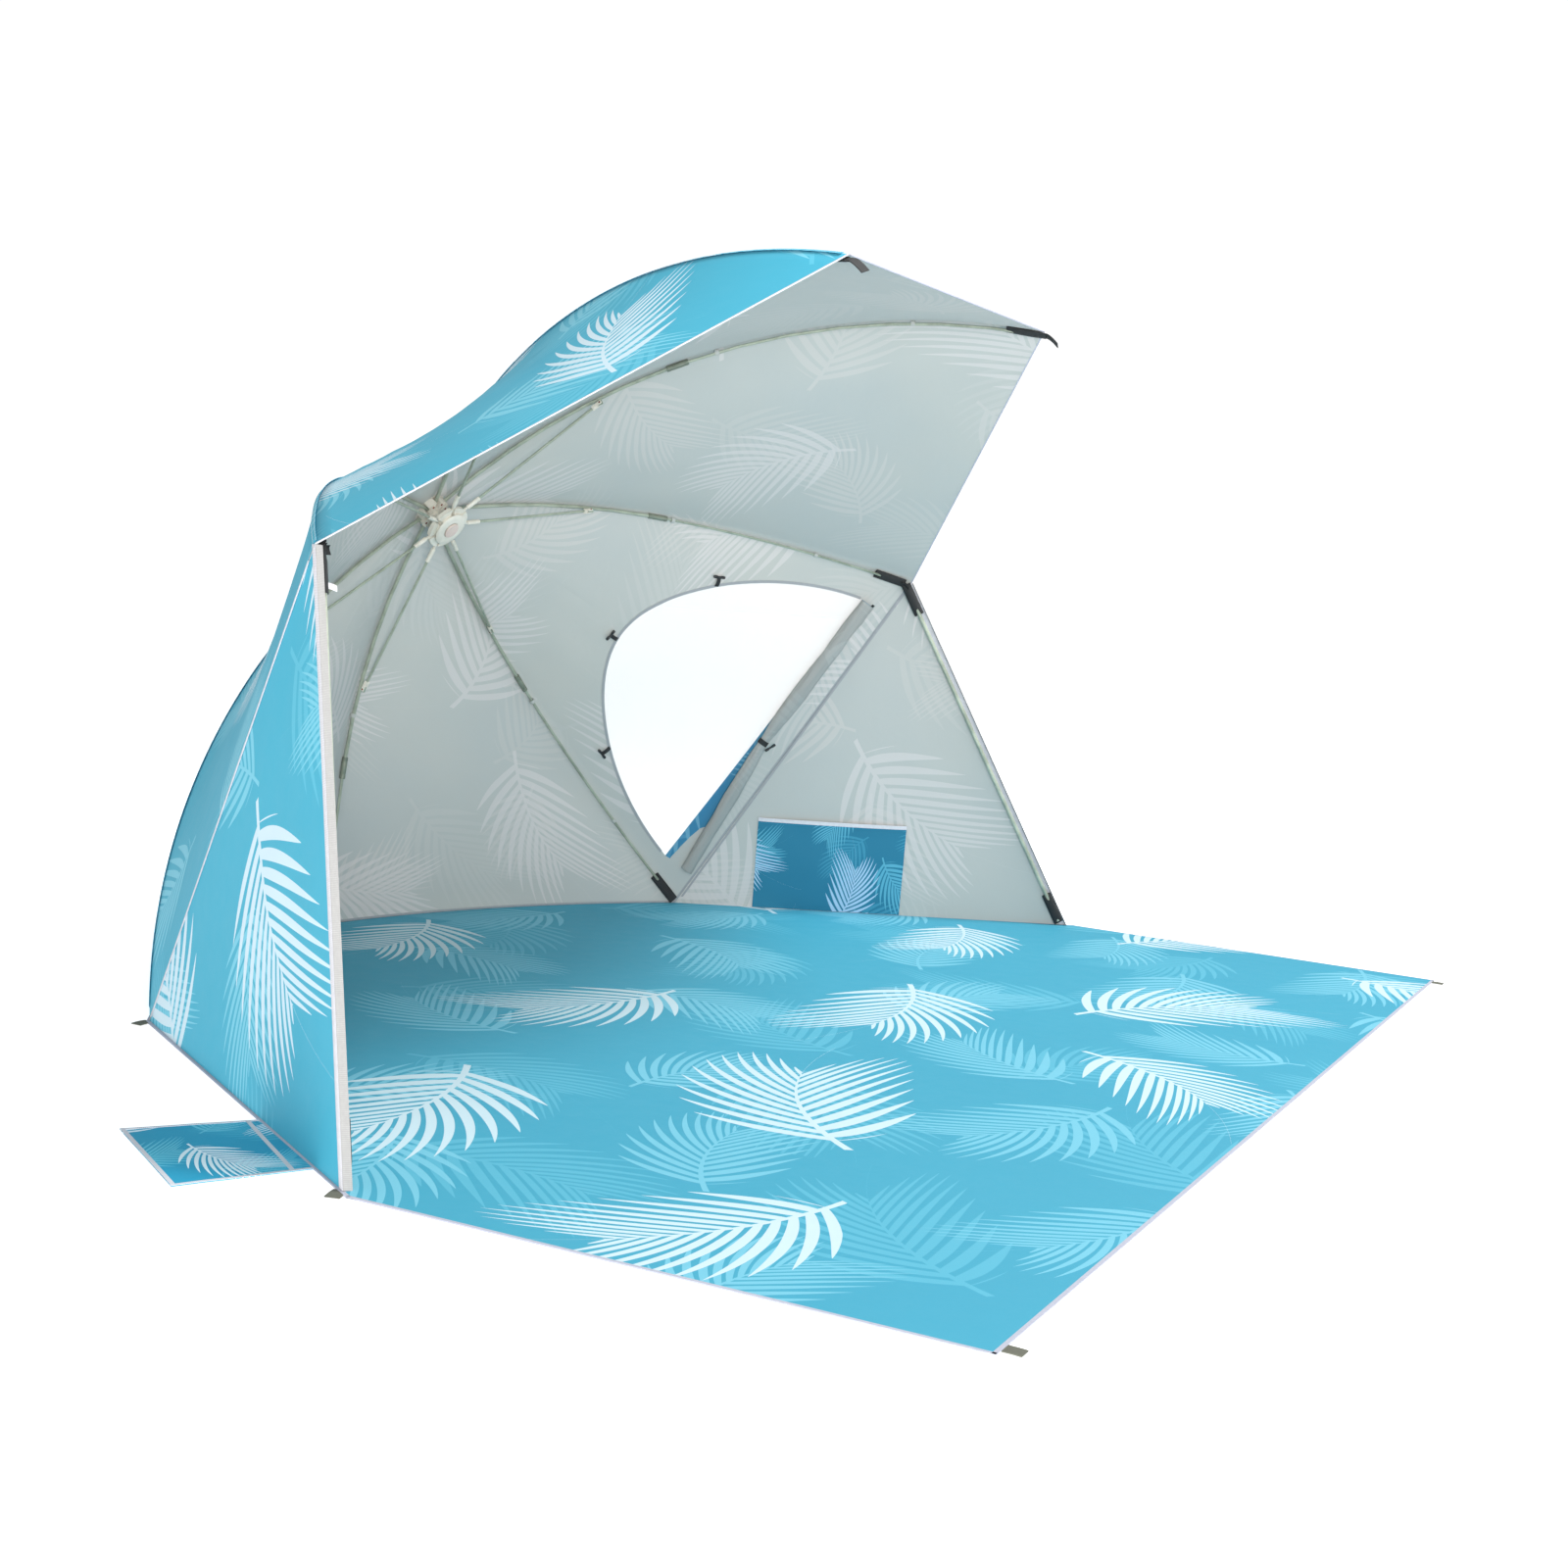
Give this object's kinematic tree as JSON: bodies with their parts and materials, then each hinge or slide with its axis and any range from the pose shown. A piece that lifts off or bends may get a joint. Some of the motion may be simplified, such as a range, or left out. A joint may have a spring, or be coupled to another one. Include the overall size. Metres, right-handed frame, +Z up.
{
  "type": "beach tent",
  "caption": "Open-fronted beach tent: tilted umbrella frame with coupled ribs, stretchers and runner, front poles, sewn canopy, window, floor and fold-out apron.",
  "frame": {"origin": "on the ground under the floor sheet, on the centre line, 0.45 m behind the line of the two front pole feet", "axes": "+Z up, +X to the right for someone who faces the opening, and the opening faces -Y"},
  "size_m": [2.6606, 1.8827, 1.1889],
  "materials": {
    "button_plastic": "pinkish moulded nylon",
    "deep_cloth": "woven polyester, deeper tone",
    "moulded": "cream moulded nylon",
    "net": "fine white mesh",
    "print_cloth": "printed woven polyester",
    "rod": "pale grey-green fibreglass",
    "roll_cloth": "silver-coated woven polyester, rolled",
    "tab_webbing": "olive-grey webbing",
    "webbing": "black webbing"
  },
  "bodies": {
    "canopy": {"crown": "moulded", "crown_cap": "moulded", "crown_wire": "rod", "floor_sheet": "print_cloth", "left_back_panel": "print_cloth", "left_front_panel": "print_cloth", "left_side_panel": "print_cloth", "left_wall": "print_cloth", "right_back_panel": "print_cloth", "right_front_panel": "print_cloth", "right_side_panel": "print_cloth", "right_wall": "print_cloth", "storage_pocket": "deep_cloth", "top_panel": "print_cloth", "window_binding": "tab_webbing", "window_net": "net"},
    "apron": {"apron": "print_cloth"},
    "back_rib": {"back_rib_inner": "rod", "back_rib_outer": "rod", "back_rib_pocket": "webbing"},
    "back_stretcher": {"back_stretcher": "rod"},
    "window_flap": {"flap_tie": "webbing", "window_flap": "roll_cloth"},
    "left_brow_rib": {"left_brow_rib_inner": "rod", "left_brow_rib_outer": "rod", "left_brow_rib_pocket": "webbing"},
    "left_brow_stretcher": {"left_brow_stretcher": "rod"},
    "left_corner_rib": {"left_corner_rib_inner": "rod", "left_corner_rib_outer": "rod", "left_corner_rib_pocket": "webbing"},
    "left_corner_stretcher": {"left_corner_stretcher": "rod"},
    "left_elbow_rib": {"left_elbow_rib_inner": "rod", "left_elbow_rib_outer": "rod", "left_elbow_rib_pocket": "webbing"},
    "left_elbow_stretcher": {"left_elbow_stretcher": "rod"},
    "left_pole": {"left_pole": "rod", "left_pole_foot_pocket": "webbing", "left_pole_top_pocket": "webbing"},
    "left_sand_flap": {"left_sand_flap": "deep_cloth"},
    "right_brow_rib": {"right_brow_rib_inner": "rod", "right_brow_rib_outer": "rod", "right_brow_rib_pocket": "webbing"},
    "right_brow_stretcher": {"right_brow_stretcher": "rod"},
    "right_corner_rib": {"right_corner_rib_inner": "rod", "right_corner_rib_outer": "rod", "right_corner_rib_pocket": "webbing"},
    "right_corner_stretcher": {"right_corner_stretcher": "rod"},
    "right_elbow_rib": {"right_elbow_rib_inner": "rod", "right_elbow_rib_outer": "rod", "right_elbow_rib_pocket": "webbing"},
    "right_elbow_stretcher": {"right_elbow_stretcher": "rod"},
    "right_pole": {"right_pole": "rod", "right_pole_foot_pocket": "webbing", "right_pole_top_pocket": "webbing"},
    "right_sand_flap": {"right_sand_flap": "deep_cloth"},
    "runner": {"runner": "moulded"},
    "latch_button": {"runner_button": "button_plastic"}
  },
  "joints": [
    {"name": "back_rib_fold", "type": "hinge", "parent": "canopy", "child": "back_rib", "pos_m": [0, 0.39983, 0.77239], "axis": [-1, 0, 0], "range_deg": [0, 44], "deforming": ["floor_sheet", "apron"]},
    {"name": "left_brow_rib_fold", "type": "hinge", "parent": "canopy", "child": "left_brow_rib", "pos_m": [-0.00983, 0.37338, 0.80989], "axis": [0.9123, -0.236, 0.3346], "range_deg": [0, 44]},
    {"name": "left_elbow_rib_fold", "type": "hinge", "parent": "canopy", "child": "left_elbow_rib", "pos_m": [-0.02319, 0.38243, 0.79705], "axis": [0.2577, -0.557, 0.7895], "range_deg": [0, 44]},
    {"name": "left_corner_rib_fold", "type": "hinge", "parent": "canopy", "child": "left_corner_rib", "pos_m": [-0.0192, 0.3943, 0.78023], "axis": [-0.6001, -0.4611, 0.6537], "range_deg": [0, 44]},
    {"name": "right_corner_rib_fold", "type": "hinge", "parent": "canopy", "child": "right_corner_rib", "pos_m": [0.0192, 0.3943, 0.78023], "axis": [-0.6001, 0.4611, -0.6537], "range_deg": [0, 44]},
    {"name": "right_elbow_rib_fold", "type": "hinge", "parent": "canopy", "child": "right_elbow_rib", "pos_m": [0.02319, 0.38243, 0.79705], "axis": [0.2577, 0.557, -0.7895], "range_deg": [0, 44]},
    {"name": "right_brow_rib_fold", "type": "hinge", "parent": "canopy", "child": "right_brow_rib", "pos_m": [0.00983, 0.37338, 0.80989], "axis": [0.9123, 0.236, -0.3346], "range_deg": [0, 44]},
    {"name": "back_stretcher_swing", "type": "hinge", "parent": "back_rib", "child": "back_stretcher", "pos_m": [0, 0.52324, 0.458], "axis": [-1, 0, 0], "range_deg": [-109.3, 0]},
    {"name": "left_brow_stretcher_swing", "type": "hinge", "parent": "left_brow_rib", "child": "left_brow_stretcher", "pos_m": [-0.14413, 0.13518, 1.00812], "axis": [0.9123, -0.236, 0.3346], "range_deg": [-109.3, 0]},
    {"name": "left_elbow_stretcher_swing", "type": "hinge", "parent": "left_elbow_rib", "child": "left_elbow_stretcher", "pos_m": [-0.34014, 0.26802, 0.81981], "axis": [0.2577, -0.557, 0.7895], "range_deg": [-109.3, 0]},
    {"name": "left_corner_stretcher_swing", "type": "hinge", "parent": "left_corner_rib", "child": "left_corner_stretcher", "pos_m": [-0.2816, 0.4421, 0.57304], "axis": [-0.6001, -0.4611, 0.6537], "range_deg": [-109.3, 0]},
    {"name": "right_corner_stretcher_swing", "type": "hinge", "parent": "right_corner_rib", "child": "right_corner_stretcher", "pos_m": [0.2816, 0.4421, 0.57304], "axis": [-0.6001, 0.4611, -0.6537], "range_deg": [-109.3, 0]},
    {"name": "right_elbow_stretcher_swing", "type": "hinge", "parent": "right_elbow_rib", "child": "right_elbow_stretcher", "pos_m": [0.34014, 0.26802, 0.81981], "axis": [0.2577, 0.557, -0.7895], "range_deg": [-109.3, 0]},
    {"name": "right_brow_stretcher_swing", "type": "hinge", "parent": "right_brow_rib", "child": "right_brow_stretcher", "pos_m": [0.14413, 0.13518, 1.00812], "axis": [0.9123, 0.236, -0.3346], "range_deg": [-109.3, 0]},
    {"name": "runner_slide", "type": "slide", "parent": "canopy", "child": "runner", "axis": [0, -0.8171, -0.5764], "range_m": [0, 0.513]},
    {"name": "latch_press", "type": "slide", "parent": "runner", "child": "latch_button", "axis": [0, 0.8171, 0.5764], "range_m": [0, 0.003], "stiffness_N_per_m": 300},
    {"name": "left_pole_swing", "type": "hinge", "parent": "left_elbow_rib", "child": "left_pole", "pos_m": [-0.93, -0.145, 0.721], "axis": [-0.6682, 0.7412, -0.0644], "range_deg": [0, 25]},
    {"name": "right_pole_swing", "type": "hinge", "parent": "right_elbow_rib", "child": "right_pole", "pos_m": [0.93, -0.145, 0.721], "axis": [-0.6682, -0.7412, 0.0644], "range_deg": [0, 25]},
    {"name": "apron_fold", "type": "hinge", "parent": "canopy", "child": "apron", "pos_m": [0, -0.475, 0.002], "axis": [-1, 0, 0], "range_deg": [0, 90]},
    {"name": "left_sand_flap_fold", "type": "hinge", "parent": "canopy", "child": "left_sand_flap", "pos_m": [-1.06882, -0.19738, 0.002], "axis": [0.5199, 0.8542, 0], "range_deg": [0, 80]},
    {"name": "right_sand_flap_fold", "type": "hinge", "parent": "canopy", "child": "right_sand_flap", "pos_m": [1.06882, -0.19738, 0.002], "axis": [0.5199, -0.8542, 0], "range_deg": [0, 80]},
    {"name": "window_flap_swing", "type": "hinge", "parent": "canopy", "child": "window_flap", "pos_m": [0.8113, 0.09905, 0.40131], "axis": [-0.2061, 0.514, -0.8327], "range_deg": [0, 55]}
  ],
  "couplings": [
    {"joint": "left_brow_rib_fold", "follows": "back_rib_fold", "ratio": 1},
    {"joint": "left_elbow_rib_fold", "follows": "back_rib_fold", "ratio": 1},
    {"joint": "left_corner_rib_fold", "follows": "back_rib_fold", "ratio": 1},
    {"joint": "right_corner_rib_fold", "follows": "back_rib_fold", "ratio": 1},
    {"joint": "right_elbow_rib_fold", "follows": "back_rib_fold", "ratio": 1},
    {"joint": "right_brow_rib_fold", "follows": "back_rib_fold", "ratio": 1},
    {"joint": "back_stretcher_swing", "follows": "back_rib_fold", "ratio": -2.4839},
    {"joint": "left_brow_stretcher_swing", "follows": "back_rib_fold", "ratio": -2.4839},
    {"joint": "left_elbow_stretcher_swing", "follows": "back_rib_fold", "ratio": -2.4839},
    {"joint": "left_corner_stretcher_swing", "follows": "back_rib_fold", "ratio": -2.4839},
    {"joint": "right_corner_stretcher_swing", "follows": "back_rib_fold", "ratio": -2.4839},
    {"joint": "right_elbow_stretcher_swing", "follows": "back_rib_fold", "ratio": -2.4839},
    {"joint": "right_brow_stretcher_swing", "follows": "back_rib_fold", "ratio": -2.4839},
    {"joint": "runner_slide", "follows": "back_rib_fold", "m_per_rad": 0.66793}
  ]
}
